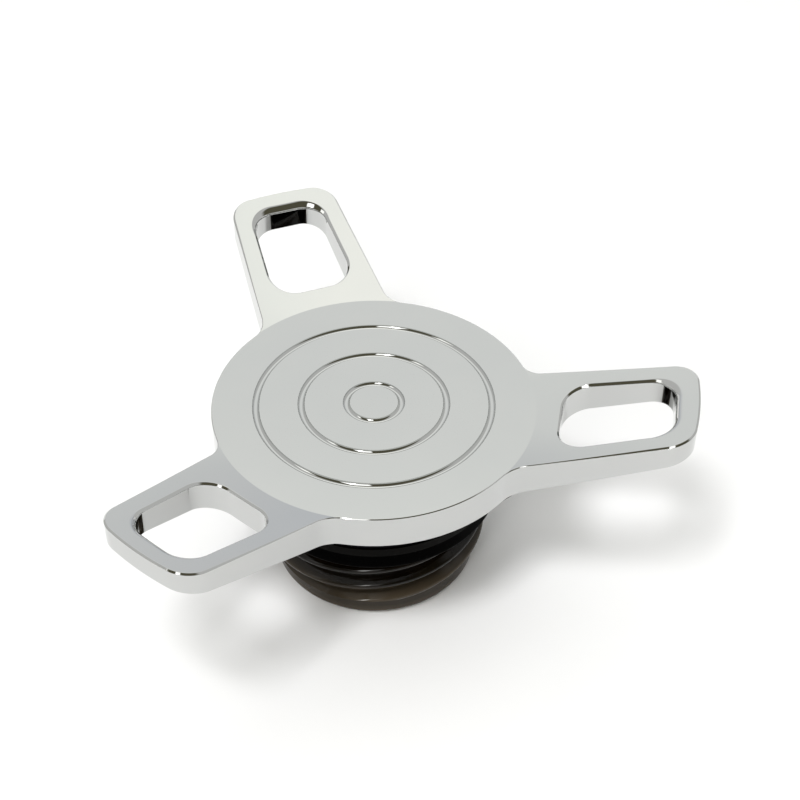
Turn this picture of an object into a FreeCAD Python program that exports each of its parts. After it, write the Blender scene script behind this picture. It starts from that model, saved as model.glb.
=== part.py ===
import FreeCAD, Part
import math
import os
import re

import Sketcher

V = FreeCAD.Vector

doc = FreeCAD.newDocument("FuelCap")
sheet = doc.addObject("Spreadsheet::Sheet", "Dims")

# Driving dimensions, in millimetres and degrees. Heights are above the floor
# that the threaded plug stands on, and radii are from the cap's own axis.
DIMENSIONS = {
    # the three-armed head
    "head_top": 43.0,
    "hub_radius": 35.0,
    "hub_thickness": 8.2,
    "tip_radius": 68.5,
    "arm_root_half": 14.8,
    "arm_tip_half": 12.6,
    "arm_rise_angle": 17.0,
    "arm_under_angle": 20.6,
    "under_cone_radius": 33.8,
    "slot_web": 5.3,
    "slot_tip_rim": 4.9,
    "slot_root_side": 4.65,
    "slot_tip_side": 4.52,
    "root_fillet": 6.0,
    "tip_fillet": 6.0,
    "slot_fillet": 5.6,
    "slot_chamfer": 0.6,
    "ring_spacing": 9.75,
    "ring_first": 5.88,
    "ring_half_width": 0.66,
    "ring_depth": 0.4,
    "spigot_inset": 1.5,
    "spigot_height": 1.2,
    "hole_spare": 0.4,
    "cutter_past": 6.0,
    # the threaded plug
    "thread_crest": 25.0,
    "thread_depth": 2.1,
    "thread_lead": 14.4,
    "thread_starts": 3,
    "thread_phase": -0.1,
    "thread_foot": 4.1,
    "ridge_sunk": 0.5,
    "thread_round": 0.75,
    "thread_entry": 4.4,
    "bottom_round": 1.4,
    "gasket_bottom": 19.75,
    "flange_bottom": 24.2,
    "flange_top": 26.3,
    "flange_reach": 2.8,
    "plug_wall": 3.9,
    "mouth_step": 1.4,
    "mouth_depth": 6.0,
    "deck_bottom": 21.0,
    "boss_radius": 12.0,
    "boss_top": 32.1,
    "key_width": 3.0,
    "key_reach": 1.6,
    "key_sunk": 1.0,
    "breather_circle": 15.0,
    "breather_radius": 1.1,
    "gasket_lip": 0.4,
    "gasket_land_width": 2.4,
    "gasket_round": 1.6,
    # the ratchet between plug and head
    "cup_inset": 0.3,
    "cup_wall": 2.7,
    "cup_plate": 2.4,
    "teeth": 24,
    "tooth_depth": 1.3,
    "tooth_height": 3.6,
    "tooth_share": 0.9,
    "tooth_sunk": 0.5,
    "pawl_bottom": 26.6,
    "pawl_thickness": 2.6,
    "pawl_ring_radius": 17.0,
    "pawl_arm_width": 2.0,
    "pawl_sweep": 62.0,
    "pawl_sunk": 1.5,
    "pawl_flare": 6.0,
    "pawl_taper": 4.0,
    "head_screw_to_teeth": 0.7,
    "head_screw_radius": 1.5,
    "head_screw_length": 5.4,
    "head_screw_head": 2.8,
    "head_screw_cap": 1.7,
    "hex_socket": 4.0,
    "socket_share": 0.65,
    # the pivot that holds head and plug together
    "shoulder_radius": 4.0,
    "pivot_thread_radius": 3.0,
    "pivot_thread_length": 4.6,
    "pivot_head_radius": 6.4,
    "pivot_head_height": 2.6,
    "washer_radius": 8.2,
    "washer_thickness": 0.8,
    "disc_spring_height": 1.1,
    "disc_spring_thickness": 0.5,
    "disc_spring_inset": 0.6,
    "o_ring_half": 0.9,
    # the pressure and vacuum valves inside the plug
    "seat_thickness": 2.4,
    "seat_hole": 8.0,
    "seat_ring_seal_half": 0.7,
    "end_cap_bottom": 0.4,
    "end_cap_thickness": 1.6,
    "end_cap_skirt": 1.6,
    "end_cap_hole": 2.0,
    "end_cap_circle": 12.5,
    "end_cap_holes": 6,
    "seal_thickness": 0.9,
    "pressure_disc_radius": 13.2,
    "pressure_disc_thickness": 1.2,
    "disc_rim_slope": 0.6,
    "pressure_seal_inset": 0.5,
    "seals_apart": 1.4,
    "pressure_spring_radius": 9.9,
    "pressure_wire": 1.1,
    "pressure_coils": 4.5,
    "stem_radius": 1.5,
    "stem_groove": 0.4,
    "stem_end": 0.9,
    "poppet_radius": 7.0,
    "poppet_thickness": 1.0,
    "vacuum_port_circle": 5.0,
    "vacuum_port_radius": 0.9,
    "vacuum_spring_radius": 2.9,
    "vacuum_wire": 0.5,
    "vacuum_spring_length": 3.6,
    "vacuum_coils": 4.5,
    "clip_thickness": 0.6,
    "clip_radius": 3.5,
    "clip_mouth": 0.2,
    # clearances
    "running": 0.05,
    "seating": 0.05,
    "body_gap": 0.3,
    "screw_play": 0.2,
    "coil_play": 0.15,
}

for row, (alias, value) in enumerate(DIMENSIONS.items(), start=1):
    sheet.set(f"A{row}", alias)
    sheet.set(f"B{row}", str(value))
    sheet.setAlias(f"B{row}", alias)
doc.recompute()

NAMES = re.compile(r"\b(" + "|".join(sorted(DIMENSIONS, key=len, reverse=True)) + r")\b")

# Radii and lengths that follow from the driving dimensions. Each may use the ones below it.
FOLLOWING = {
    "head_screw_circle": "(cup_inner - tooth_depth - head_screw_head - head_screw_to_teeth)",
    "cup_inner": "(cup_radius - cup_wall)",
    "spigot_radius": "(cup_radius - spigot_inset)",
    "cup_radius": "(flange_radius - cup_inset)",
    "gasket_land_inner": "(flange_radius - gasket_land_width)",
    "flange_radius": "(thread_crest + flange_reach)",
    "mouth_radius": "(bore_radius + mouth_step)",
    "bore_radius": "(thread_root - plug_wall)",
    "thread_root": "(thread_crest - thread_depth)",
    "slot_start_half": "(arm_root_half - slot_web * arm_taper - slot_root_side)",
    "slot_end_half": "(arm_tip_half + slot_tip_rim * arm_taper - slot_tip_side)",
    "slot_start": "(hub_radius + slot_web)",
    "slot_end": "(tip_radius - slot_tip_rim)",
    "arm_taper": "((arm_root_half - arm_tip_half) / (tip_radius - hub_radius))",
}

# Heights and fits, in the same way.
HUB_UNDER = "(head_top - hub_thickness)"
SPIGOT_TOP = f"({HUB_UNDER} + spigot_height)"
CUP_TOP = HUB_UNDER
CUP_CEILING = f"({CUP_TOP} - cup_plate)"
SKIRT_BOTTOM = "(flange_top + body_gap)"
PAWL_TOP = "(pawl_bottom + pawl_thickness)"
SHOULDER_BORE = "(shoulder_radius + running)"
WASHER_BOTTOM = "(deck_bottom - washer_thickness)"
PIVOT_HEAD_TOP = f"({WASHER_BOTTOM} - disc_spring_height - running)"
PIVOT_HEAD_BOTTOM = f"({PIVOT_HEAD_TOP} - pivot_head_height)"
O_RING_GROOVE = f"({SHOULDER_BORE} + 2 * o_ring_half + seating)"
O_RING_SEAT = "(boss_top - 2 * o_ring_half - seating)"
SEAT_TOP = "mouth_depth"
SEAT_BOTTOM = "(mouth_depth - seat_thickness)"
SEAT_RADIUS = "(mouth_radius - seating)"
CAP_TOP = "(end_cap_bottom + end_cap_thickness)"
DISC_BOTTOM = f"({SEAT_TOP} + seal_thickness)"
DISC_TOP = f"({DISC_BOTTOM} + pressure_disc_thickness)"
POPPET_TOP = f"({DISC_BOTTOM} - seal_thickness)"
POPPET_BOTTOM = f"({POPPET_TOP} - poppet_thickness)"
CLIP_BOTTOM = f"({DISC_TOP} + vacuum_spring_length)"
CLIP_TOP = f"({CLIP_BOTTOM} + clip_thickness)"


def formula(text):
    """The text with following names spelled out and dimensions pointed at their cells."""
    for name, meaning in FOLLOWING.items():
        text = re.sub(rf"\b{name}\b", meaning, text)
    return NAMES.sub(lambda found: "Dims." + found.group(1), text)


def number(text):
    """What a formula of dimensions comes to, as a plain number."""
    value = sheet.evalExpression(formula(text))
    return float(getattr(value, "Value", value))


def datum(body, role):
    return [f for f in body.Origin.OriginFeatures if f.Role == role][0]


def new_body(label):
    body = doc.addObject("PartDesign::Body", label)
    body.Label = label
    return body


def new_sketch(body, name, role, height=None):
    """An empty sketch on one of the body's own planes, lifted to a height."""
    sketch = body.newObject("Sketcher::SketchObject", name)
    sketch.AttachmentSupport = [(datum(body, role), "")]
    sketch.MapMode = "FlatFace"
    if height is not None:
        sketch.setExpression("AttachmentOffset.Base.z", formula(height))
    return sketch


def hold(sketch, kind, geometry, vertex, text):
    """Binds one coordinate of a sketch point to a formula."""
    value = number(text)
    if abs(value) < 1e-9:
        axis = -2 if kind == "DistanceX" else -1
        sketch.addConstraint(Sketcher.Constraint("PointOnObject", geometry, vertex, axis))
        return
    index = sketch.addConstraint(Sketcher.Constraint(kind, -1, 1, geometry, vertex, value))
    sketch.setExpression(f"Constraints[{index}]", formula(text))


def polygon(sketch, corners):
    """A closed outline of straight lines; each corner is a pair of formulas."""
    points = [V(number(x), number(y), 0) for x, y in corners]
    first = sketch.GeometryCount
    count = len(points)
    for i in range(count):
        sketch.addGeometry(Part.LineSegment(points[i], points[(i + 1) % count]))
    for i in range(count):
        after = first + (i + 1) % count
        sketch.addConstraint(Sketcher.Constraint("Coincident", first + i, 2, after, 1))
    for i, (x, y) in enumerate(corners):
        hold(sketch, "DistanceX", first + i, 1, x)
        hold(sketch, "DistanceY", first + i, 1, y)


def circle(sketch, x, y, radius):
    """A circle whose centre and radius are formulas."""
    index = sketch.addGeometry(
        Part.Circle(V(number(x), number(y), 0), V(0, 0, 1), number(radius))
    )
    hold(sketch, "DistanceX", index, 3, x)
    hold(sketch, "DistanceY", index, 3, y)
    constraint = sketch.addConstraint(Sketcher.Constraint("Radius", index, number(radius)))
    sketch.setExpression(f"Constraints[{constraint}]", formula(radius))


def turned(body, name, corners, cut=False):
    """A feature turned about the cap's axis from corners of radius and height."""
    sketch = new_sketch(body, name + "Profile", "XZ_Plane")
    polygon(sketch, corners)
    kind = "PartDesign::Groove" if cut else "PartDesign::Revolution"
    feature = body.newObject(kind, name)
    feature.Profile = sketch
    feature.ReferenceAxis = (sketch, ["V_Axis"])
    feature.Angle = 360
    doc.recompute()
    return feature


def raised(body, name, sketch, length, cut=False):
    """A pad upwards from a level sketch, or a pocket that cuts upwards."""
    feature = body.newObject("PartDesign::Pocket" if cut else "PartDesign::Pad", name)
    feature.Profile = sketch
    feature.setExpression("Length", formula(length))
    feature.Reversed = cut
    doc.recompute()
    return feature


def spread(body, name, originals, count):
    """Copies of features, evenly spaced about the cap's axis."""
    pattern = body.newObject("PartDesign::PolarPattern", name)
    pattern.Originals = originals
    pattern.Axis = (datum(body, "Z_Axis"), [""])
    pattern.Angle = 360
    if isinstance(count, str):
        pattern.setExpression("Occurrences", formula(count))
    else:
        pattern.Occurrences = count
    body.Tip = pattern
    doc.recompute()
    return pattern


def edge_names(feature, wanted):
    """Names of the feature's edges that a test on the edge accepts."""
    edges = feature.Shape.Edges
    return [f"Edge{i}" for i, edge in enumerate(edges, start=1) if wanted(edge)]


def ring_edge(radius, height):
    """A test for a circular edge about the axis at a radius and height."""
    r, z = number(radius), number(height)

    def wanted(edge):
        curve = edge.Curve
        round_edge = isinstance(curve, Part.Circle) and abs(curve.Radius - r) < 1e-4
        return round_edge and abs(curve.Center.z - z) < 1e-4

    return wanted


def upright_edge(radius):
    """A test for a straight upright edge at a distance from the axis."""
    r = number(radius)

    def wanted(edge):
        if not isinstance(edge.Curve, Part.Line):
            return False
        start, end = edge.Vertexes[0].Point, edge.Vertexes[-1].Point
        level = math.hypot(start.x - end.x, start.y - end.y)
        return level < 1e-6 and abs(math.hypot(start.x, start.y) - r) < 0.02

    return wanted


def rounded(body, name, feature, wanted, size, kind="Fillet"):
    """A fillet or chamfer on the edges that a test accepts."""
    names = edge_names(feature, wanted)
    if not names:
        raise RuntimeError(f"{name} found no edge on {feature.Name}")
    edge_feature = body.newObject(f"PartDesign::{kind}", name)
    edge_feature.Base = (feature, names)
    edge_feature.setExpression("Radius" if kind == "Fillet" else "Size", formula(size))
    doc.recompute()
    return edge_feature


def checked_cut(before, after):
    """Stops if a cutting feature took nothing away."""
    if after.Shape.Volume >= before.Shape.Volume - 1e-6:
        raise RuntimeError(f"{after.Name} cut nothing")
    return after


def spinner_head():
    """The one-piece billet head: hub and three raked arms with finger slots.

    It is built as it would be machined: a star-shaped blank with its slots,
    then the dished top and the coned underside are turned."""
    body = new_body("spinner_head")
    rise = "(tip_radius - hub_radius) * tan(arm_rise_angle * 1 deg)"
    blank = f"(hub_thickness + {rise} + 1)"

    hub_sketch = new_sketch(body, "HubOutline", "XY_Plane", HUB_UNDER)
    circle(hub_sketch, "0", "0", "hub_radius")
    hub = raised(body, "HubBlank", hub_sketch, blank)

    arm_sketch = new_sketch(body, "ArmOutline", "XY_Plane", HUB_UNDER)
    arm_outline(arm_sketch, "(arm_root_half + hub_radius * arm_taper)")
    arm = raised(body, "ArmBlank", arm_sketch, blank)

    slot_sketch = new_sketch(body, "SlotOutline", "XY_Plane", HUB_UNDER)
    polygon(
        slot_sketch,
        [
            ("slot_start", "-slot_start_half"),
            ("slot_end", "-slot_end_half"),
            ("slot_end", "slot_end_half"),
            ("slot_start", "slot_start_half"),
        ],
    )
    slot = checked_cut(arm, raised(body, "FingerSlot", slot_sketch, blank, cut=True))
    star = spread(body, "ThreeArms", [arm, slot], 3)

    corner = "sqrt(pow(slot_start; 2) + pow(slot_start_half; 2))"
    inner = rounded(body, "SlotInnerCorners", star, upright_edge(corner), "slot_fillet")
    corner = "sqrt(pow(slot_end; 2) + pow(slot_end_half; 2))"
    outer = rounded(body, "SlotOuterCorners", inner, upright_edge(corner), "slot_fillet")
    roots = rounded(body, "ArmRoots", outer, upright_edge("hub_radius"), "root_fillet")
    tips = rounded(body, "ArmTips", roots, upright_edge("tip_radius"), "tip_fillet")

    past = "(tip_radius + cutter_past)"
    high = f"({HUB_UNDER} + {blank} + 1)"
    top_rise = f"({past} - hub_radius) * tan(arm_rise_angle * 1 deg)"
    dish = turned(
        body,
        "TopTurning",
        [
            ("0", "head_top"),
            ("hub_radius", "head_top"),
            (past, f"head_top + {top_rise}"),
            (past, f"{high} + {top_rise}"),
            ("0", f"{high} + {top_rise}"),
        ],
        cut=True,
    )
    checked_cut(tips, dish)
    low = f"({HUB_UNDER} - 1)"
    under_rise = f"({past} - under_cone_radius) * tan(arm_under_angle * 1 deg)"
    under = turned(
        body,
        "UndersideTurning",
        [
            ("under_cone_radius", HUB_UNDER),
            (past, f"{HUB_UNDER} + {under_rise}"),
            (past, low),
            ("under_cone_radius", low),
        ],
        cut=True,
    )
    checked_cut(dish, under)
    slots = rounded(body, "SlotChamfers", under, slot_mouth_edge, "slot_chamfer", "Chamfer")

    rings_sketch = new_sketch(body, "RingProfile", "XZ_Plane")
    cutter = "((pow(ring_half_width; 2) + pow(ring_depth; 2)) / (2 * ring_depth))"
    for step in range(3):
        radius = f"ring_first + {step} * ring_spacing"
        circle(rings_sketch, radius, f"head_top - ring_depth + {cutter}", cutter)
    rings = body.newObject("PartDesign::Groove", "RingGrooves")
    rings.Profile = rings_sketch
    rings.ReferenceAxis = (rings_sketch, ["V_Axis"])
    rings.Angle = 360
    doc.recompute()
    checked_cut(slots, rings)

    socket_sketch = new_sketch(body, "SpigotSeat", "XY_Plane", HUB_UNDER)
    circle(socket_sketch, "0", "0", "spigot_radius + seating")
    seat = raised(body, "SpigotRecess", socket_sketch, "spigot_height", cut=True)
    checked_cut(rings, seat)
    pivot_sketch = new_sketch(body, "PivotHolePlan", "XY_Plane", SPIGOT_TOP)
    circle(pivot_sketch, "0", "0", "pivot_thread_radius + seating")
    pivot = raised(body, "PivotHole", pivot_sketch, "pivot_thread_length + hole_spare", cut=True)
    checked_cut(seat, pivot)
    screw_sketch = new_sketch(body, "ScrewHolePlan", "XY_Plane", SPIGOT_TOP)
    circle(screw_sketch, "head_screw_circle", "0", "head_screw_radius + seating")
    screw_depth = "head_screw_length - cup_plate - spigot_height + hole_spare"
    screw = raised(body, "ScrewHole", screw_sketch, screw_depth, cut=True)
    checked_cut(pivot, screw)
    return body, spread(body, "ScrewHoles", [screw], 3)


def on_the_top(edge):
    """The middle of an edge that lies on the head's turned top, else None."""
    middle = edge.valueAt((edge.FirstParameter + edge.LastParameter) / 2)
    rise = math.tan(math.radians(number("arm_rise_angle")))
    points = [vertex.Point for vertex in edge.Vertexes] + [middle]
    for point in points:
        out = max(math.hypot(point.x, point.y) - number("hub_radius"), 0)
        if abs(point.z - number("head_top") - out * rise) > 0.005:
            return None
    return middle


def across_arm(point):
    """How far a point lies from the middle line of the nearest arm."""
    third = 2 * math.pi / 3
    angle = math.atan2(point.y, point.x)
    angle -= round(angle / third) * third
    return math.hypot(point.x, point.y) * abs(math.sin(angle))


def slot_mouth_edge(edge):
    """A test for the upper edges of the finger slots."""
    middle = on_the_top(edge)
    if middle is None:
        return False
    radius = math.hypot(middle.x, middle.y)
    inside = number("slot_start") - 0.1 < radius < number("slot_end") + 0.1
    return inside and across_arm(middle) < number("slot_start_half") + 0.1


def arm_outline(sketch, half_at_axis):
    """One arm's plan: two straight sides from the axis to a tip arc about it."""
    root = number(half_at_axis)
    half = number("arm_tip_half")
    tip = number("tip_radius")
    reach = math.sqrt(tip * tip - half * half)
    turn = math.atan2(half, reach)
    sketch.addGeometry(Part.LineSegment(V(0, -root, 0), V(reach, -half, 0)))
    sketch.addGeometry(Part.ArcOfCircle(Part.Circle(V(0, 0, 0), V(0, 0, 1), tip), -turn, turn))
    sketch.addGeometry(Part.LineSegment(V(reach, half, 0), V(0, root, 0)))
    sketch.addGeometry(Part.LineSegment(V(0, root, 0), V(0, -root, 0)))
    sketch.addConstraint(Sketcher.Constraint("Coincident", 0, 2, 1, 1))
    sketch.addConstraint(Sketcher.Constraint("Coincident", 1, 2, 2, 1))
    sketch.addConstraint(Sketcher.Constraint("Coincident", 2, 2, 3, 1))
    sketch.addConstraint(Sketcher.Constraint("Coincident", 3, 2, 0, 1))
    sketch.addConstraint(Sketcher.Constraint("Coincident", 1, 3, -1, 1))
    sketch.addConstraint(Sketcher.Constraint("PointOnObject", 0, 1, -2))
    sketch.addConstraint(Sketcher.Constraint("PointOnObject", 2, 2, -2))
    radius = sketch.addConstraint(Sketcher.Constraint("Radius", 1, tip))
    sketch.setExpression(f"Constraints[{radius}]", formula("tip_radius"))
    hold(sketch, "DistanceY", 0, 1, f"-{half_at_axis}")
    hold(sketch, "DistanceY", 2, 2, half_at_axis)
    hold(sketch, "DistanceY", 0, 2, "-arm_tip_half")
    hold(sketch, "DistanceY", 2, 1, "arm_tip_half")


def plug_body():
    """The moulded plug: flange, gasket neck, three-start thread, valve bore,
    and the keyed boss that the pawl plate sits on."""
    body = new_body("plug_body")
    core = turned(
        body,
        "PlugCore",
        [
            ("mouth_radius", "0"),
            ("thread_root", "0"),
            ("thread_root", "flange_bottom"),
            ("flange_radius", "flange_bottom"),
            ("flange_radius", "flange_top"),
            ("boss_radius", "flange_top"),
            ("boss_radius", "boss_top"),
            (O_RING_GROOVE, "boss_top"),
            (O_RING_GROOVE, O_RING_SEAT),
            (SHOULDER_BORE, O_RING_SEAT),
            (SHOULDER_BORE, "deck_bottom"),
            ("bore_radius", "deck_bottom"),
            ("bore_radius", "mouth_depth"),
            ("mouth_radius", "mouth_depth"),
        ],
    )
    ridge_sketch = new_sketch(body, "RidgeProfile", "XZ_Plane")
    ridge_profile(ridge_sketch)
    ridge = body.newObject("PartDesign::AdditiveHelix", "ThreadRidge")
    ridge.Profile = ridge_sketch
    ridge.ReferenceAxis = (ridge_sketch, ["V_Axis"])
    ridge.Mode = 0
    ridge.setExpression("Pitch", formula("thread_lead"))
    top = "(gasket_bottom + flange_bottom) / 2"
    ridge.setExpression("Height", formula(f"{top} - thread_phase"))
    doc.recompute()
    if ridge.Shape.Volume <= core.Shape.Volume:
        raise RuntimeError("the thread ridge added nothing")
    threads = spread(body, "ThreadStarts", [ridge], "thread_starts")

    past = "(thread_crest + cutter_past)"
    entry_top = "(thread_entry + thread_crest - thread_root + 0.2)"
    lead_in = turned(
        body,
        "ThreadLeadIn",
        [
            ("mouth_radius", "0"),
            ("thread_root", "0"),
            ("thread_root", "thread_entry"),
            ("thread_crest + 0.2", entry_top),
            (past, entry_top),
            (past, "-cutter_past"),
            ("mouth_radius", "-cutter_past"),
        ],
        cut=True,
    )
    checked_cut(threads, lead_in)
    neck = turned(
        body,
        "GasketNeck",
        [
            ("thread_root", "gasket_bottom"),
            ("thread_root", "flange_bottom"),
            (past, "flange_bottom"),
            (past, "gasket_bottom"),
        ],
        cut=True,
    )
    checked_cut(lead_in, neck)

    key_sketch = new_sketch(body, "KeyPlan", "XY_Plane", "flange_top")
    polygon(
        key_sketch,
        [
            ("boss_radius - key_sunk", "-key_width / 2"),
            ("boss_radius + key_reach", "-key_width / 2"),
            ("boss_radius + key_reach", "key_width / 2"),
            ("boss_radius - key_sunk", "key_width / 2"),
        ],
    )
    key = raised(body, "BossKey", key_sketch, f"{PAWL_TOP} - flange_top")
    vent_sketch = new_sketch(body, "BreatherPlan", "XY_Plane", "deck_bottom")
    vent_x = "breather_circle * cos(60 deg)"
    vent_y = "breather_circle * sin(60 deg)"
    circle(vent_sketch, vent_x, vent_y, "breather_radius")
    vent = raised(body, "Breather", vent_sketch, "flange_top - deck_bottom", cut=True)
    checked_cut(key, vent)
    keyed = spread(body, "KeysAndBreathers", [key, vent], 3)
    foot = ring_edge("thread_root", "0")
    return body, rounded(body, "BottomRound", keyed, foot, "bottom_round")


def ridge_profile(sketch):
    """The thread ridge's section: sloping flanks that run into a round crest."""
    inside = number("thread_root - ridge_sunk")
    middle = number("thread_phase")
    half = number("thread_foot / 2")
    crest_round = number("thread_round")
    centre = number("thread_crest") - crest_round
    reach = math.hypot(centre - inside, half)
    turn = math.asin(crest_round / reach) + math.atan2(half, centre - inside)
    touch_x = centre + crest_round * math.sin(turn)
    touch_z = crest_round * math.cos(turn)
    low, high = V(inside, middle - half, 0), V(inside, middle + half, 0)
    touch_low, touch_high = V(touch_x, middle - touch_z, 0), V(touch_x, middle + touch_z, 0)
    crest = Part.Circle(V(centre, middle, 0), V(0, 0, 1), crest_round)
    sketch.addGeometry(Part.LineSegment(low, touch_low))
    sketch.addGeometry(Part.ArcOfCircle(crest, turn - math.pi / 2, math.pi / 2 - turn))
    sketch.addGeometry(Part.LineSegment(touch_high, high))
    sketch.addGeometry(Part.LineSegment(high, low))
    sketch.addConstraint(Sketcher.Constraint("Tangent", 0, 2, 1, 1))
    sketch.addConstraint(Sketcher.Constraint("Tangent", 1, 2, 2, 1))
    sketch.addConstraint(Sketcher.Constraint("Coincident", 2, 2, 3, 1))
    sketch.addConstraint(Sketcher.Constraint("Coincident", 3, 2, 0, 1))
    hold(sketch, "DistanceX", 0, 1, "thread_root - ridge_sunk")
    hold(sketch, "DistanceY", 0, 1, "thread_phase - thread_foot / 2")
    hold(sketch, "DistanceX", 2, 2, "thread_root - ridge_sunk")
    hold(sketch, "DistanceY", 2, 2, "thread_phase + thread_foot / 2")
    hold(sketch, "DistanceX", 1, 3, "thread_crest - thread_round")
    hold(sketch, "DistanceY", 1, 3, "thread_phase")
    radius = sketch.addConstraint(Sketcher.Constraint("Radius", 1, crest_round))
    sketch.setExpression(f"Constraints[{radius}]", formula("thread_round"))


def main_gasket():
    """The thick rubber ring under the flange, with a raised sealing land."""
    body = new_body("main_gasket")
    ring = turned(
        body,
        "GasketRing",
        [
            ("thread_root + seating", "gasket_bottom + gasket_lip"),
            ("gasket_land_inner", "gasket_bottom + gasket_lip"),
            ("gasket_land_inner", "gasket_bottom"),
            ("flange_radius", "gasket_bottom"),
            ("flange_radius", "flange_bottom"),
            ("thread_root + seating", "flange_bottom"),
        ],
    )
    edge = ring_edge("flange_radius", "gasket_bottom")
    rim = rounded(body, "OuterRound", ring, edge, "gasket_round")
    return body, rim


def drive_ring():
    """The moulded cup under the head, with ratchet teeth inside its skirt."""
    body = new_body("drive_ring")
    hole = "(shoulder_radius + body_gap)"
    cup = turned(
        body,
        "Cup",
        [
            ("cup_radius", SKIRT_BOTTOM),
            ("cup_radius", CUP_TOP),
            ("spigot_radius", CUP_TOP),
            ("spigot_radius", SPIGOT_TOP),
            (hole, SPIGOT_TOP),
            (hole, CUP_CEILING),
            ("cup_inner", CUP_CEILING),
            ("cup_inner", SKIRT_BOTTOM),
        ],
    )
    tooth_sketch = new_sketch(body, "ToothPlan", "XY_Plane", SKIRT_BOTTOM)
    slope = "(360 deg / teeth * tooth_share)"
    sunk = "(cup_inner + tooth_sunk)"
    polygon(
        tooth_sketch,
        [
            (sunk, "0"),
            ("cup_inner - tooth_depth", "0"),
            (f"cup_inner * cos({slope})", f"-cup_inner * sin({slope})"),
            (f"{sunk} * cos({slope})", f"-{sunk} * sin({slope})"),
        ],
    )
    tooth = raised(body, "Tooth", tooth_sketch, "tooth_height")
    if tooth.Shape.Volume <= cup.Shape.Volume:
        raise RuntimeError("the tooth added nothing")
    teeth = spread(body, "RatchetTeeth", [tooth], "teeth")
    screw_sketch = new_sketch(body, "ScrewPlan", "XY_Plane", CUP_CEILING)
    circle(screw_sketch, "head_screw_circle", "0", "head_screw_radius + screw_play")
    screw = raised(body, "ScrewHole", screw_sketch, "cup_plate + spigot_height", cut=True)
    checked_cut(teeth, screw)
    return body, spread(body, "ScrewHoles", [screw], 3)


def pawl_plate():
    """A moulded ring with three springy arms whose tips click over the teeth."""
    body = new_body("pawl_plate")
    ring_sketch = new_sketch(body, "RingPlan", "XY_Plane", "pawl_bottom")
    circle(ring_sketch, "0", "0", "pawl_ring_radius")
    circle(ring_sketch, "0", "0", "boss_radius + seating")
    ring = raised(body, "PawlRing", ring_sketch, "pawl_thickness")
    arm_sketch = new_sketch(body, "ArmPlan", "XY_Plane", "pawl_bottom")
    pawl_outline(arm_sketch)
    arm = raised(body, "PawlArm", arm_sketch, "pawl_thickness")
    if arm.Shape.Volume <= ring.Shape.Volume:
        raise RuntimeError("the pawl arm added nothing")
    way_sketch = new_sketch(body, "KeywayPlan", "XY_Plane", "pawl_bottom")
    half = "(key_width / 2 + seating)"
    reach = "(boss_radius + key_reach + seating)"
    polygon(
        way_sketch,
        [
            ("boss_radius - key_sunk", f"-{half}"),
            (reach, f"-{half}"),
            (reach, half),
            ("boss_radius - key_sunk", half),
        ],
    )
    way = raised(body, "Keyway", way_sketch, "pawl_thickness", cut=True)
    checked_cut(arm, way)
    return body, spread(body, "ThreePawls", [arm, way], 3)


def pawl_outline(sketch):
    """One pawl in plan: a stem on the ring, a curved arm and a pointed tip.

    The tip stands against a tooth's steep side with the gap of two bodies,
    so it drives the plug when the head is unscrewed and rides over the
    sloping sides when the head is screwed down too hard."""
    inner = "(cup_inner - tooth_depth - body_gap - pawl_arm_width)"
    outer = f"({inner} + pawl_arm_width)"
    tip = "(cup_inner - body_gap)"
    stem = "(pawl_ring_radius - pawl_sunk)"
    flare = "(pawl_flare * 1 deg)"
    taper = "(pawl_taper * 1 deg)"
    gap = f"asin(body_gap / {tip})"
    sweep = "(pawl_sweep * 1 deg)"
    a = (stem, f"({sweep} + {flare})")
    b = (stem, sweep)
    c = (inner, f"({sweep} - {flare})")
    d = (inner, gap)
    e = (tip, gap)
    f = (outer, f"({gap} + {taper})")
    g = (outer, f"({sweep} + {taper})")
    line(sketch, a, b)
    line(sketch, b, c)
    arc_about_axis(sketch, inner, d[1], c[1])
    line(sketch, d, e)
    line(sketch, e, f)
    arc_about_axis(sketch, outer, f[1], g[1])
    line(sketch, g, a)
    joins = ((0, 2, 1, 1), (1, 2, 2, 2), (3, 1, 2, 1), (3, 2, 4, 1), (4, 2, 5, 1), (5, 2, 6, 1))
    for join in joins + ((6, 2, 0, 1),):
        sketch.addConstraint(Sketcher.Constraint("Coincident", *join))
    for geometry, corner in ((0, a), (1, b), (4, e)):
        hold_corner(sketch, geometry, corner)
    for geometry, vertex, corner in ((2, 2, c), (2, 1, d), (5, 1, f), (5, 2, g)):
        hold_turn(sketch, geometry, vertex, corner)


def level_point(corner):
    """A corner given as radius and angle, as a point in the sketch."""
    radius, angle = number(corner[0]), math.radians(number(corner[1]))
    return V(radius * math.cos(angle), radius * math.sin(angle), 0)


def line(sketch, start, end):
    """A straight line between two corners of radius and angle."""
    return sketch.addGeometry(Part.LineSegment(level_point(start), level_point(end)))


def arc_about_axis(sketch, radius, start, end):
    """An arc about the cap's axis, its centre and radius held."""
    turn = math.radians(number(start)), math.radians(number(end))
    whole = Part.Circle(V(0, 0, 0), V(0, 0, 1), number(radius))
    index = sketch.addGeometry(Part.ArcOfCircle(whole, *turn))
    sketch.addConstraint(Sketcher.Constraint("Coincident", index, 3, -1, 1))
    constraint = sketch.addConstraint(Sketcher.Constraint("Radius", index, number(radius)))
    sketch.setExpression(f"Constraints[{constraint}]", formula(radius))


def hold_corner(sketch, geometry, corner):
    """Holds a line's start at a corner of radius and angle."""
    hold(sketch, "DistanceX", geometry, 1, f"{corner[0]} * cos({corner[1]})")
    hold(sketch, "DistanceY", geometry, 1, f"{corner[0]} * sin({corner[1]})")


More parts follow.
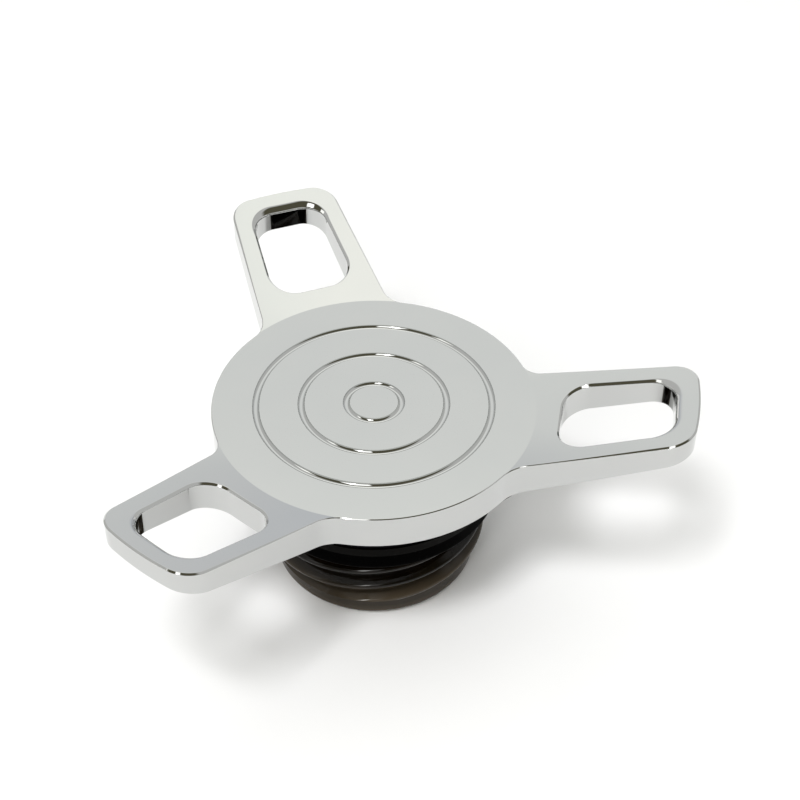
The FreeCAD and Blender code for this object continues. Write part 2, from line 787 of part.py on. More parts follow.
def hold_turn(sketch, geometry, vertex, corner):
    """Holds how far round an arc's end lies, by its better-placed coordinate."""
    angle = math.radians(number(corner[1]))
    if abs(math.sin(angle)) > abs(math.cos(angle)):
        hold(sketch, "DistanceX", geometry, vertex, f"{corner[0]} * cos({corner[1]})")
    else:
        hold(sketch, "DistanceY", geometry, vertex, f"{corner[0]} * sin({corner[1]})")


def drive_ring_screws():
    """Three screws with hexagon sockets that hold the cup to the head."""
    cap_bottom = f"{CUP_CEILING} - head_screw_cap"
    corners = [V(number("head_screw_radius"), 0, 0)]
    for step in range(6):
        turn = FreeCAD.Rotation(V(0, 0, 1), 60 * (step + 1))
        corners.append(turn.multVec(corners[0]))
    hexagon = Part.Face(Part.makePolygon(corners))
    solids = []
    for step in range(3):
        place = V(number("head_screw_circle"), 0, 0)
        head = Part.makeCylinder(
            number("head_screw_head"),
            number("head_screw_cap"),
            place + V(0, 0, number(cap_bottom)),
        )
        shank = Part.makeCylinder(
            number("head_screw_radius"),
            number("head_screw_length"),
            place + V(0, 0, number(CUP_CEILING)),
        )
        socket = hexagon.extrude(V(0, 0, number("head_screw_cap * socket_share")))
        socket.translate(place + V(0, 0, number(cap_bottom)))
        screw = head.fuse(shank).cut(socket).removeSplitter()
        screw.rotate(V(0, 0, 0), V(0, 0, 1), 120 * step)
        solids.append(screw)
    feature = doc.addObject("Part::Feature", "drive_ring_screws")
    feature.Label = "drive_ring_screws"
    feature.Shape = Part.makeCompound(solids)
    return feature, feature


def pivot_screw():
    """The shoulder screw that the head turns on."""
    body = new_body("pivot_screw")
    thread_top = f"({SPIGOT_TOP} + pivot_thread_length)"
    shank = turned(
        body,
        "Shank",
        [
            ("0", PIVOT_HEAD_BOTTOM),
            ("pivot_head_radius", PIVOT_HEAD_BOTTOM),
            ("pivot_head_radius", PIVOT_HEAD_TOP),
            ("shoulder_radius", PIVOT_HEAD_TOP),
            ("shoulder_radius", SPIGOT_TOP),
            ("pivot_thread_radius", SPIGOT_TOP),
            ("pivot_thread_radius", thread_top),
            ("0", thread_top),
        ],
    )
    hex_sketch = new_sketch(body, "HexPlan", "XY_Plane", PIVOT_HEAD_BOTTOM)
    corner = "(hex_socket / sqrt(3))"
    polygon(
        hex_sketch,
        [(f"{corner} * cos({60 * i} deg)", f"{corner} * sin({60 * i} deg)") for i in range(6)],
    )
    depth = "pivot_head_height * socket_share"
    return body, checked_cut(shank, raised(body, "HexSocket", hex_sketch, depth, cut=True))


def ring_piece(label, corners):
    """A piece that is turned in one go."""
    body = new_body(label)
    return body, turned(body, "Turned", corners)


def torus_piece(label, radius, half, height):
    """A round-section rubber ring about the axis."""
    torus = doc.addObject("Part::Torus", label)
    torus.Label = label
    torus.setExpression("Radius1", formula(radius))
    torus.setExpression("Radius2", formula(half))
    torus.setExpression("Placement.Base.z", formula(height))
    doc.recompute()
    return torus, torus


def coil_spring(label, radius, wire, bottom, top, coils):
    """A round-wire coil between two heights, swept along a helix."""
    helix = doc.addObject("Part::Helix", label + "_path")
    helix.setExpression("Radius", formula(radius))
    helix.setExpression("Height", formula(f"{top} - {bottom} - {wire}"))
    helix.setExpression("Pitch", formula(f"({top} - {bottom} - {wire}) / {coils}"))
    helix.setExpression("Placement.Base.z", formula(f"{bottom} + {wire} / 2"))
    section = doc.addObject("Part::Circle", label + "_section")
    section.setExpression("Radius", formula(f"{wire} / 2"))
    section.setExpression("Placement.Base.x", formula(radius))
    section.setExpression("Placement.Base.z", formula(f"{bottom} + {wire} / 2"))
    section.Placement.Rotation = FreeCAD.Rotation(V(1, 0, 0), 90)
    doc.recompute()
    spring = doc.addObject("Part::Sweep", label)
    spring.Label = label
    spring.Sections = [section]
    spring.Spine = (helix, [f"Edge{i + 1}" for i in range(len(helix.Shape.Edges))])
    spring.Solid = True
    spring.Frenet = True
    doc.recompute()
    return spring, spring


def disc_spring():
    """The coned spring washer that takes up the play under the deck."""
    inner = "(shoulder_radius + body_gap)"
    outer = "(washer_radius - disc_spring_inset)"
    low = PIVOT_HEAD_TOP + " + running"
    return ring_piece(
        "disc_spring",
        [
            (inner, low),
            (outer, f"{WASHER_BOTTOM} - disc_spring_thickness"),
            (outer, WASHER_BOTTOM),
            (inner, f"{low} + disc_spring_thickness"),
        ],
    )


def seat_ring():
    """The valve seat, with a groove round its rim for the seat seal."""
    groove = f"({SEAT_RADIUS} - 2 * seat_ring_seal_half)"
    middle = f"({SEAT_BOTTOM} + seat_thickness / 2)"
    half = "(seat_ring_seal_half + seating)"
    return ring_piece(
        "seat_ring",
        [
            ("seat_hole", SEAT_BOTTOM),
            (SEAT_RADIUS, SEAT_BOTTOM),
            (SEAT_RADIUS, f"{middle} - {half}"),
            (groove, f"{middle} - {half}"),
            (groove, f"{middle} + {half}"),
            (SEAT_RADIUS, f"{middle} + {half}"),
            (SEAT_RADIUS, SEAT_TOP),
            ("seat_hole", SEAT_TOP),
        ],
    )


def pressure_disc():
    """The disc that the pressure spring holds down on its seat."""
    rim = "(pressure_spring_radius + pressure_wire / 2 + body_gap)"
    boss = "(vacuum_spring_radius - vacuum_wire / 2 - coil_play)"
    body = new_body("pressure_disc")
    disc = turned(
        body,
        "Disc",
        [
            ("stem_radius + running", DISC_BOTTOM),
            ("pressure_disc_radius", DISC_BOTTOM),
            ("pressure_disc_radius", f"{DISC_TOP} + pressure_wire"),
            (f"{rim} + disc_rim_slope", f"{DISC_TOP} + pressure_wire"),
            (rim, DISC_TOP),
            (boss, DISC_TOP),
            (boss, f"{DISC_TOP} + vacuum_wire"),
            ("stem_radius + running", f"{DISC_TOP} + vacuum_wire"),
        ],
    )
    port_sketch = new_sketch(body, "PortPlan", "XY_Plane", DISC_BOTTOM)
    circle(port_sketch, "vacuum_port_circle", "0", "vacuum_port_radius")
    port = raised(body, "VacuumPort", port_sketch, "pressure_disc_thickness", cut=True)
    checked_cut(disc, port)
    return body, spread(body, "VacuumPorts", [port], 4)


def vacuum_poppet():
    """The small valve that drops open when the tank draws air in."""
    groove = "(stem_radius - stem_groove)"
    return ring_piece(
        "vacuum_poppet",
        [
            ("0", POPPET_BOTTOM),
            ("poppet_radius", POPPET_BOTTOM),
            ("poppet_radius", POPPET_TOP),
            ("stem_radius", POPPET_TOP),
            ("stem_radius", CLIP_BOTTOM),
            (groove, CLIP_BOTTOM),
            (groove, CLIP_TOP),
            ("stem_radius", CLIP_TOP),
            ("stem_radius", f"{CLIP_TOP} + stem_end"),
            ("0", f"{CLIP_TOP} + stem_end"),
        ],
    )


def stem_clip():
    """The spring clip in the stem's groove, open on one side."""
    body = new_body("stem_clip")
    inner = "(stem_radius - stem_groove + seating)"
    plan = new_sketch(body, "ClipPlan", "XY_Plane", CLIP_BOTTOM)
    circle(plan, "0", "0", "clip_radius")
    circle(plan, "0", "0", inner)
    ring = raised(body, "ClipRing", plan, "clip_thickness")
    mouth_plan = new_sketch(body, "MouthPlan", "XY_Plane", CLIP_BOTTOM)
    polygon(
        mouth_plan,
        [
            ("clip_mouth", f"-{inner} * 0.8"),
            ("clip_radius + 1", f"-{inner} * 1.2"),
            ("clip_radius + 1", f"{inner} * 1.2"),
            ("clip_mouth", f"{inner} * 0.8"),
        ],
    )
    mouth = raised(body, "ClipMouth", mouth_plan, "clip_thickness", cut=True)
    return body, checked_cut(ring, mouth)


def end_cap():
    """The perforated guard pressed into the plug's mouth."""
    body = new_body("end_cap")
    skirt = f"({SEAT_RADIUS} - end_cap_skirt)"
    cap = turned(
        body,
        "Cap",
        [
            ("0", "end_cap_bottom"),
            (SEAT_RADIUS, "end_cap_bottom"),
            (SEAT_RADIUS, SEAT_BOTTOM),
            (skirt, SEAT_BOTTOM),
            (skirt, CAP_TOP),
            ("0", CAP_TOP),
        ],
    )
    plan = new_sketch(body, "HolePlan", "XY_Plane", "end_cap_bottom")
    circle(plan, "end_cap_circle", "0", "end_cap_hole")
    hole = raised(body, "VentHole", plan, "end_cap_thickness", cut=True)
    checked_cut(cap, hole)
    return body, spread(body, "VentHoles", [hole], "end_cap_holes")


pieces = [
    spinner_head(),
    drive_ring(),
    drive_ring_screws(),
    pivot_screw(),
    ring_piece(
        "pivot_washer",
        [
            ("shoulder_radius + screw_play", WASHER_BOTTOM),
            ("washer_radius", WASHER_BOTTOM),
            ("washer_radius", "deck_bottom"),
            ("shoulder_radius + screw_play", "deck_bottom"),
        ],
    ),
    disc_spring(),
    torus_piece(
        "pivot_o_ring",
        f"{SHOULDER_BORE} + o_ring_half",
        "o_ring_half",
        f"{O_RING_SEAT} + o_ring_half",
    ),
    pawl_plate(),
    plug_body(),
    main_gasket(),
    seat_ring(),
    torus_piece(
        "seat_o_ring",
        f"{SEAT_RADIUS} - seat_ring_seal_half",
        "seat_ring_seal_half",
        f"{SEAT_BOTTOM} + seat_thickness / 2",
    ),
    end_cap(),
    pressure_disc(),
    ring_piece(
        "pressure_seal",
        [
            ("poppet_radius + seals_apart", SEAT_TOP),
            ("pressure_disc_radius - pressure_seal_inset", SEAT_TOP),
            ("pressure_disc_radius - pressure_seal_inset", DISC_BOTTOM),
            ("poppet_radius + seals_apart", DISC_BOTTOM),
        ],
    ),
    coil_spring(
        "pressure_spring",
        "pressure_spring_radius",
        "pressure_wire",
        DISC_TOP,
        "deck_bottom",
        "pressure_coils",
    ),
    vacuum_poppet(),
    ring_piece(
        "vacuum_seal",
        [
            ("stem_radius + seating", POPPET_TOP),
            ("poppet_radius", POPPET_TOP),
            ("poppet_radius", DISC_BOTTOM),
            ("stem_radius + seating", DISC_BOTTOM),
        ],
    ),
    coil_spring(
        "vacuum_spring",
        "vacuum_spring_radius",
        "vacuum_wire",
        DISC_TOP,
        CLIP_BOTTOM,
        "vacuum_coils",
    ),
    stem_clip(),
]
doc.recompute()

for item in doc.Objects:
    if "Invalid" in item.State or "Error" in item.State:
        raise RuntimeError(f"{item.Name} is {item.State}")

os.makedirs("parts", exist_ok=True)
for piece, last in pieces:
    shape = piece.Shape
    if shape.isNull() or not shape.isValid() or not shape.Solids:
        raise RuntimeError(f"{piece.Label} has no valid solid")
    if hasattr(piece, "Tip") and piece.Tip is not last:
        raise RuntimeError(f"{piece.Label} doesn't end in its last feature")
    shape.exportStep(f"parts/{piece.Label}.step")
    box = shape.optimalBoundingBox()
    heights = f"z {box.ZMin:.2f} to {box.ZMax:.2f}"
    print(f"{piece.Label}: {len(shape.Solids)} solid, {shape.Volume:.1f} mm3, {heights}")
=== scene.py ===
# %% [markdown]
# # A fuel cap, dressed for its picture
# The cap was first built as a solid model: a bright metal head with three raked arms, a rubber
# gasket and a plug with a coarse thread. This lesson loads those solids as a fixed frame, gives
# every piece a finish, rebuilds the pieces that show most as smooth surfaces, and lights it all.
# Blender works in metres, while sizes are written in millimetres, as a maker would, and MM turns
# them. The cap stands on the floor with its axis on the line x = y = 0.

# %% Load the frame
import math
import bpy
import numpy as np
from mathutils import Matrix, Vector


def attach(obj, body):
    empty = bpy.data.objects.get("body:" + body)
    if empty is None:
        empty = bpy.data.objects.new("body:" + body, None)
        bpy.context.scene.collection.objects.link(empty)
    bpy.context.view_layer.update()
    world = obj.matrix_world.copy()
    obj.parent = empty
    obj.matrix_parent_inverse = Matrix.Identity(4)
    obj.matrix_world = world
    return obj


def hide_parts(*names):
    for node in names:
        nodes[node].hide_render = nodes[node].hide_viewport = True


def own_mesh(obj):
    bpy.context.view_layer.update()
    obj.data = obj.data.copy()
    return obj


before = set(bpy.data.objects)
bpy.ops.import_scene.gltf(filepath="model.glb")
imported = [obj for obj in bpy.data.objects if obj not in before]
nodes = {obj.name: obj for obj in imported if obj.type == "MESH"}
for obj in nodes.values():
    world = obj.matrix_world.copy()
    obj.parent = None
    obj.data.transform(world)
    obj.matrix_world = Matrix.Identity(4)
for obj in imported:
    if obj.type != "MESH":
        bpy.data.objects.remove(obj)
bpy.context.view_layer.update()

MM = 0.001

# %% [markdown]
# ## The camera
# The photograph was taken from a little over 40 degrees above the floor with a fairly long lens.
# The camera's place follows from two angles, a distance and a small roll, so each can be changed
# by itself. The aim point is a spot near the middle of the head's flat top.

# %% Place the camera
view_azimuth, view_elevation, view_roll = math.radians(9.4), math.radians(42.11), math.radians(0.36)
aim = Vector((5.54, 0.92, 43.59)) * MM
distance = 335.7 * MM
level = math.cos(view_elevation)
towards = Vector((
    math.sin(view_azimuth) * level, -math.cos(view_azimuth) * level, math.sin(view_elevation)
))
camera = bpy.data.objects.new("camera", bpy.data.cameras.new("camera"))
bpy.context.scene.collection.objects.link(camera)
look = towards.to_track_quat("Z", "Y").to_matrix() @ Matrix.Rotation(view_roll, 3, "Z")
camera.matrix_world = Matrix.Translation(aim + distance * towards) @ look.to_4x4()
camera.data.sensor_width = 36.0
camera.data.lens = 70.15
camera.data.clip_start = 0.01
bpy.context.scene.camera = camera
print("camera at", [round(v / MM, 1) for v in camera.location], "mm")

# %% [markdown]
# ## Helpers for nodes
# Finishes and surroundings are both small networks, so a few helpers come first. They add a node
# with its settings, a row of colours along a scale, a sum or a product, a band between two marks,
# and a colour laid over another.


# %% Write the node helpers
def node(tree, kind, **values):
    """Adds a node; names that begin with a capital letter are its inputs."""
    made = tree.nodes.new(kind)
    for key, value in values.items():
        if key[0].isupper():
            made.inputs[key.replace("_", " ")].default_value = value
        else:
            setattr(made, key, value)
    return made


def ramp(tree, source, stops):
    """A colour ramp: stops are (place, colour), and the source is an output from 0 to 1."""
    made = tree.nodes.new("ShaderNodeValToRGB")
    points = made.color_ramp.elements
    while len(points) < len(stops):
        points.new(0.5)
    for point, (place, colour) in zip(points, stops):
        point.position = place
        point.color = (*colour, 1.0)
    tree.links.new(source, made.inputs["Fac"])
    return made.outputs["Color"]


def arithmetic(tree, operation, *values):
    """A sum, product or other operation on outputs and plain numbers."""
    made = tree.nodes.new("ShaderNodeMath")
    made.operation = operation
    for place, value in enumerate(values):
        if isinstance(value, (int, float)):
            made.inputs[place].default_value = value
        else:
            tree.links.new(value, made.inputs[place])
    return made.outputs["Value"]


def between_marks(tree, source, rise, fall):
    """1 where the source lies between two marks, and 0 outside. Each mark is (from, to).

    It is the product of a smooth step up over the first mark and one down over the second."""
    sides = []
    for mark, before, after in ((rise, 0.0, 1.0), (fall, 1.0, 0.0)):
        side = node(tree, "ShaderNodeMapRange", interpolation_type="SMOOTHSTEP",
                    From_Min=mark[0], From_Max=mark[1], To_Min=before, To_Max=after)
        tree.links.new(source, side.inputs["Value"])
        sides.append(side.outputs["Result"])
    return arithmetic(tree, "MULTIPLY", *sides)


# The Mix node has sockets of one name for numbers, vectors and colours. These are the colours'.
COLOUR_A, COLOUR_B, COLOUR_RESULT = 6, 7, 2


def laid_over(tree, below, share, colour):
    """A colour laid over another where the share is 1."""
    mix = node(tree, "ShaderNodeMix", data_type="RGBA")
    tree.links.new(share, mix.inputs["Factor"])
    tree.links.new(below, mix.inputs[COLOUR_A])
    mix.inputs[COLOUR_B].default_value = (*colour, 1.0)
    return mix.outputs[COLOUR_RESULT]


print("node helpers ready")

# %% [markdown]
# ## The studio
# Chrome shows nothing but its surroundings, so the surroundings are the first thing to design.
# Beyond the cap stands a pale sweep that is bluish grey low down and a warm white straight above,
# and the flat faces mirror that. To both sides the walls are a plain grey. Behind the camera the
# room is dark brown, with one bright window on the left and a dimmer, narrow one further round.
# The grooves and edges bend far enough to catch all of these, which draws their crisp lines. The
# bright window has a far brighter middle, which gives the dark thread its short, sharp glints.
# A photograph of a room could be wrapped round the scene instead, but a colour ramp and a few
# soft patches say what each part is for and can be moved one by one.

# %% Build the surroundings
world = bpy.data.worlds.new("studio")
bpy.context.scene.world = world
world.use_nodes = True
tree = world.node_tree
direction = node(tree, "ShaderNodeTexCoord").outputs["Generated"]
split = node(tree, "ShaderNodeSeparateXYZ")
tree.links.new(direction, split.inputs["Vector"])
height = split.outputs["Z"]

# The turn of a direction is 0 towards the camera's side and grows to the right, in radians.
rightward = (math.cos(view_azimuth), math.sin(view_azimuth), 0.0)
cameraward = (math.sin(view_azimuth), -math.cos(view_azimuth), 0.0)
shares = []
for axis in (rightward, cameraward):
    share = node(tree, "ShaderNodeVectorMath", operation="DOT_PRODUCT")
    tree.links.new(direction, share.inputs[0])
    share.inputs[1].default_value = axis
    shares.append(share.outputs["Value"])
turn = arithmetic(tree, "ARCTAN2", shares[0], shares[1])

sky = ramp(tree, height, [
    (0.00, (0.34, 0.35, 0.38)),
    (0.22, (0.51, 0.525, 0.545)),
    (0.32, (0.535, 0.545, 0.555)),
    (0.42, (0.58, 0.59, 0.59)),
    (0.52, (0.65, 0.66, 0.65)),
    (0.68, (0.68, 0.69, 0.675)),
    (0.90, (0.92, 0.93, 0.88)),
    (1.00, (1.00, 0.99, 0.93)),
])
degree = math.radians(1)


def patch(left, right, foot, head, soft, rim):
    """1 over a part of the room: between two turns in degrees and two heights.

    Its sides fade over soft degrees, and its foot and head over a height of rim."""
    left_side = left * degree, (left + soft) * degree
    right_side = (right - soft) * degree, right * degree
    wide = between_marks(tree, turn, left_side, right_side)
    tall = between_marks(tree, height, (foot, foot + rim), (head - rim, head))
    return arithmetic(tree, "MULTIPLY", wide, tall)


PATCHES = [
    # left, right, foot, head, soft, rim, colour
    (-152, 152, -0.1, 1.5, 18, 0.1, (0.46, 0.46, 0.45)),  # the grey side walls
    (-80, 80, 0.05, 1.5, 18, 0.12, (0.076, 0.071, 0.048)),  # the dark brown room
    (-31, -1, 0.34, 0.92, 4, 0.04, (1.3, 1.3, 1.27)),  # the bright window
    (-25, -14, 0.47, 0.77, 4, 0.04, (9.0, 9.0, 8.7)),  # that window's brighter middle
    (-76, -57, 0.30, 0.74, 4, 0.04, (1.2, 1.2, 1.15)),  # the narrow window further round
]
room = sky
for *area, colour in PATCHES:
    room = laid_over(tree, room, patch(*area), colour)
tree.links.new(room, tree.nodes["Background"].inputs["Color"])
tree.nodes["Background"].inputs["Strength"].default_value = 1.5
print("surroundings have", len(PATCHES), "patches over the sweep")

# %% [markdown]
# ## Floor and lamp
# The floor is one large pale sheet. A soft lamp from the left, high up, throws the shadows under
# the arms. Chrome would show it as a hard white square, so its mirror image is switched off.

# %% Lay the floor and hang the lamp
bpy.ops.mesh.primitive_plane_add(size=6.0, location=(0, 0, 0))
floor = bpy.context.active_object
floor.name = "floor"


def lamp(name, azimuth, elevation, power, size):
    """A soft square lamp two metres off, aimed at the cap and left out of its mirror finish.

    The azimuth is counted from the camera's, to the right."""
    reach = 2.0
    data = bpy.data.lights.new(name, "AREA")
    data.energy, data.size = power, size
    made = bpy.data.objects.new(name, data)
    bpy.context.scene.collection.objects.link(made)
    around = view_azimuth + azimuth * degree
    out = reach * math.cos(elevation * degree)
    made.location = (
        math.sin(around) * out, -math.cos(around) * out, reach * math.sin(elevation * degree)
    )
    made.rotation_euler = made.location.to_track_quat("Z", "Y").to_euler()
    made.visible_glossy = False
    print(name, "lamp of", power, "watts at", [round(v, 2) for v in made.location], "m")


lamp("key", azimuth=-27, elevation=65, power=24.0, size=0.5)
bpy.context.scene.view_settings.view_transform = "Standard"
bpy.context.scene.view_settings.look = "None"

# %% [markdown]
# ## Finishes
# Each finish is a small network of nodes. Polished metal plated with chrome is a mirror that
# gives back a little over half of the light. Moulded plastic and rubber are dark and differ in
# gloss. Pictures of real surfaces would do as well, but they need unwrapping and show seams.
# Noise in the object's own coordinates needs neither, and keeps each from looking computed.

# %% Write the finish
COLOUR_BAND, GLOSS_BAND = (0.35, 0.65), (0.3, 0.7)  # the noise rarely leaves these values
FINER = 6  # how much finer the relief's noise is than the colour's


def finish(name, colours, roughness, scale, metallic=0.0, bump=0.0, **sockets):
    """A finish from noise: colour and roughness each run between two values.

    colours and roughness are pairs; scale is the noise's cells per metre, and bump is the
    height of a finer noise in metres. Other names are inputs of the shader itself."""
    made = bpy.data.materials.new(name)
    made.use_nodes = True
    tree = made.node_tree
    shader = tree.nodes["Principled BSDF"]
    place = node(tree, "ShaderNodeTexCoord").outputs["Object"]
    noise = node(tree, "ShaderNodeTexNoise", Scale=scale, Detail=4.0)
    tree.links.new(place, noise.inputs["Vector"])
    colour = ramp(tree, noise.outputs["Fac"], list(zip(COLOUR_BAND, colours)))
    tree.links.new(colour, shader.inputs["Base Color"])
    spread = node(tree, "ShaderNodeMapRange", From_Min=GLOSS_BAND[0], From_Max=GLOSS_BAND[1],
                  To_Min=roughness[0], To_Max=roughness[1])
    tree.links.new(noise.outputs["Fac"], spread.inputs["Value"])
    tree.links.new(spread.outputs["Result"], shader.inputs["Roughness"])
    shader.inputs["Metallic"].default_value = metallic
    if bump:
        fine = node(tree, "ShaderNodeTexNoise", Scale=scale * FINER, Detail=3.0)
        tree.links.new(place, fine.inputs["Vector"])
        relief = node(tree, "ShaderNodeBump", Distance=bump)
        tree.links.new(fine.outputs["Fac"], relief.inputs["Height"])
        tree.links.new(relief.outputs["Normal"], shader.inputs["Normal"])
    for key, value in sockets.items():
        shader.inputs[key.replace("_", " ")].default_value = value
    return made


print("finish helper ready")

# %% [markdown]
# ## The cap's materials
# The chrome varies hardly at all. The gasket is the blackest thing in the picture and has almost
# no gloss left, while the plug's smoky plastic is nearly as dark and shines. The pieces inside
# are seen only where the head is taken off, and wear the plain finishes of brass, zinc plate,
# spring steel and pale plastic.

# %% Make the finishes
chrome = finish("polished_chrome", ((0.565, 0.572, 0.568), (0.578, 0.583, 0.577)),
                (0.025, 0.05), 60, metallic=1.0)
rubber = finish("black_gasket_rubber", ((0.0004, 0.0004, 0.0004), (0.0009, 0.0009, 0.0009)),
                (0.32, 0.45), 500, bump=0.00002, Specular_IOR_Level=0.004)
seals = finish("soft_seal_rubber", ((0.010, 0.010, 0.011), (0.018, 0.018, 0.018)),
               (0.45, 0.6), 700, bump=0.00002)
black = finish("black_cup_plastic", ((0.001, 0.001, 0.002), (0.002, 0.002, 0.004)),
               (0.38, 0.5), 400, bump=0.00002, Specular_IOR_Level=0.04)
natural = finish("natural_pawl_plastic", ((0.52, 0.50, 0.44), (0.60, 0.58, 0.52)),
                 (0.4, 0.5), 300, bump=0.00002)
valve = finish("cream_valve_plastic", ((0.55, 0.53, 0.47), (0.62, 0.60, 0.54)),
               (0.35, 0.45), 300, bump=0.00002)
guard = finish("charcoal_guard_plastic", ((0.020, 0.018, 0.016), (0.030, 0.027, 0.024)),
               (0.35, 0.5), 400, bump=0.00003)
brass = finish("turned_brass", ((0.72, 0.54, 0.24), (0.80, 0.62, 0.31)),
               (0.18, 0.3), 250, metallic=1.0)
zinc = finish("zinc_plate", ((0.60, 0.60, 0.58), (0.68, 0.68, 0.67)),
              (0.25, 0.4), 600, metallic=1.0)
spring = finish("drawn_spring_wire", ((0.42, 0.42, 0.42), (0.52, 0.52, 0.52)),
                (0.2, 0.32), 800, metallic=1.0)
smoky = finish("tinted_plug_plastic", ((0.003, 0.002, 0.001), (0.006, 0.004, 0.002)),
               (0.05, 0.09), 200, Specular_IOR_Level=0.24)
white = finish("floor_white", ((0.86, 0.86, 0.87), (0.88, 0.88, 0.885)),
               (0.8, 0.9), 8)
KINDS = {
    "metal": (chrome, brass, zinc, spring),
    "dark": (rubber, seals, black, guard, smoky),
    "pale": (natural, valve, white),
}
for kind, group in KINDS.items():
    print(kind, "finishes:", ", ".join(made.name for made in group))

# %% [markdown]
# ## Painted light on the thread
# Smoky plastic is really see-through, and the plug's wall is thin. Near the floor light passes
# through it and the bright floor lights it, so it looks brown, most of all on the ridges, while the
# part under the head stays black in its shade. True transparency would show what is inside the
# plug too, so this light and shade are painted: a brown is laid over the black by height and
# radius.


# %% Paint light onto the thread
def painted_light_through(material, brown):
    """Paints light onto a material: brown laid over it where light would get through it.

    The share of brown grows from a groove to a ridge and fades with height, so the upper part
    keeps its black as painted shade under the head. Round the foot it is whole.
    is whole."""
    # Painted light and shade: brown for light through the wall and from the floor, black higher up
    # for the head's shade.
    groove_radius, ridge_radius, groove_share, ridge_share = 23.3 * MM, 24.9 * MM, 0.4, 0.8
    dark_above, brown_below, foot_fades, foot_whole = 11.5 * MM, 8.5 * MM, 4.0 * MM, 0.5 * MM
    tree = material.node_tree
    colour = tree.nodes["Principled BSDF"].inputs["Base Color"]
    parts = node(tree, "ShaderNodeSeparateXYZ")
    tree.links.new(node(tree, "ShaderNodeTexCoord").outputs["Object"], parts.inputs["Vector"])
    across = arithmetic(tree, "POWER", parts.outputs["X"], 2.0)
    along = arithmetic(tree, "POWER", parts.outputs["Y"], 2.0)
    radius = arithmetic(tree, "SQRT", arithmetic(tree, "ADD", across, along))
    ridge = node(tree, "ShaderNodeMapRange", From_Min=groove_radius, From_Max=ridge_radius,
                 To_Min=groove_share, To_Max=ridge_share)
    lower = node(tree, "ShaderNodeMapRange", From_Min=dark_above, From_Max=brown_below)
    foot = node(tree, "ShaderNodeMapRange", From_Min=foot_fades, From_Max=foot_whole)
    tree.links.new(radius, ridge.inputs["Value"])
    for band in (lower, foot):
        tree.links.new(parts.outputs["Z"], band.inputs["Value"])
    ridges = arithmetic(tree, "MULTIPLY", ridge.outputs["Result"], lower.outputs["Result"])
    share = arithmetic(tree, "MAXIMUM", ridges, foot.outputs["Result"])
    tree.links.new(laid_over(tree, colour.links[0].from_socket, share, brown), colour)


# The brown is painted light on the plug's ridges and foot.
painted_light_through(smoky, (0.070, 0.054, 0.036))
print("brown laid over", smoky.name)

# %% [markdown]
# ## Who wears what
# Every solid gets its finish by name. Those that a smoother piece stands for later get one too,
# so that each is dressed for itself.

# %% Put the finishes on
WEARS = {
    chrome: ["spinner_head"],
    rubber: ["main_gasket"],
    seals: ["pivot_o_ring", "seat_o_ring", "pressure_seal", "vacuum_seal"],
    black: ["drive_ring"],
    natural: ["pawl_plate"],
    valve: ["seat_ring", "pressure_disc"],
    guard: ["end_cap"],
    brass: ["vacuum_poppet", "pivot_washer"],
    zinc: ["pivot_screw", "drive_ring_screws"],
    spring: ["disc_spring", "pressure_spring", "vacuum_spring", "stem_clip"],
    smoky: ["plug_body"],
}
for material, names in WEARS.items():
    for name in names:
        for place in nodes[name].material_slots:
            place.material = material
floor.data.materials.append(white)
print("finishes on", sum(len(names) for names in WEARS.values()), "pieces")

# %% [markdown]
# ## Surfaces from grids
# A new piece is a set of grids. A grid holds points and, at each point, the direction that the
# surface really faces there, worked out from the formula and not from the facets. Chrome shows
# the smallest bend, so facets alone would ripple. Grids that meet share their edge points, and
# these are welded, so that each piece is one closed skin. A modelled block with a Bevel modifier
# is quicker to make, but its corners don't follow a formula and show as kinks in the mirror.


# %% Weld triangles into one skin
def unit(vectors):
    """The same directions with length one."""
    return vectors / np.maximum(np.linalg.norm(vectors, axis=-1, keepdims=True), 1e-12)


def skin(name, points, facing, corners, materials):
    """One object from triangles: each corner names a point in millimetres and its direction.

    Points in the same small cell are joined. Triangles that have shrunk to a line, as round a
    pole, are dropped. A closed skin has no open edges: each edge has two triangles."""
    cell = 0.0013  # millimetres
    keys = np.round(points / cell).astype(np.int64)
    kept, place_of = np.unique(keys, axis=0, return_index=True, return_inverse=True)[1:]
    joined = place_of.reshape(-1)[corners]
    whole = (joined != np.roll(joined, 1, axis=1)).all(axis=1)
    joined, corners = joined[whole], corners[whole]
    edges = np.sort(np.concatenate([joined[:, pair] for pair in ([0, 1], [1, 2], [2, 0])]), axis=1)
    uses = np.unique(edges, axis=0, return_counts=True)[1]
    mesh = bpy.data.meshes.new(name)
    mesh.from_pydata((points[kept] * MM).tolist(), [], joined.tolist())
    mesh.shade_smooth()
    mesh.normals_split_custom_set(unit(facing[corners]).reshape(-1, 3).tolist())
    for material in materials:
        mesh.materials.append(material)
    made = bpy.data.objects.new(name, mesh)
    bpy.context.scene.collection.objects.link(made)
    print(name, "has", len(joined), "triangles and", int((uses != 2).sum()), "open edges")
    return made


def welded_piece(name, grids, material):
    """One object from grids of (points, directions), welded where they meet.

    Each square becomes two triangles, turned to face the way that the directions do."""
    points, facing, corners, count = [], [], [], 0
    for place, way in grids:
        rows, columns = place.shape[:2]
        index = np.arange(rows * columns).reshape(rows, columns)
        a, b, c, d = index[:-1, :-1], index[1:, :-1], index[1:, 1:], index[:-1, 1:]
        triangles = np.concatenate([
            np.stack(three, -1).reshape(-1, 3) for three in ((a, b, c), (a, c, d))
        ])
        flat_place, flat_way = place.reshape(-1, 3), way.reshape(-1, 3)
        one, two = (flat_place[triangles[:, k]] - flat_place[triangles[:, 0]] for k in (1, 2))
        if (np.cross(one, two) * flat_way[triangles[:, 0]]).sum() < 0:
            triangles = triangles[:, ::-1]
        points.append(flat_place)
        facing.append(flat_way)
        corners.append(triangles + count)
        count += rows * columns
    points, facing, corners = (np.concatenate(some) for some in (points, facing, corners))
    return skin(name, points, facing, corners, [material])


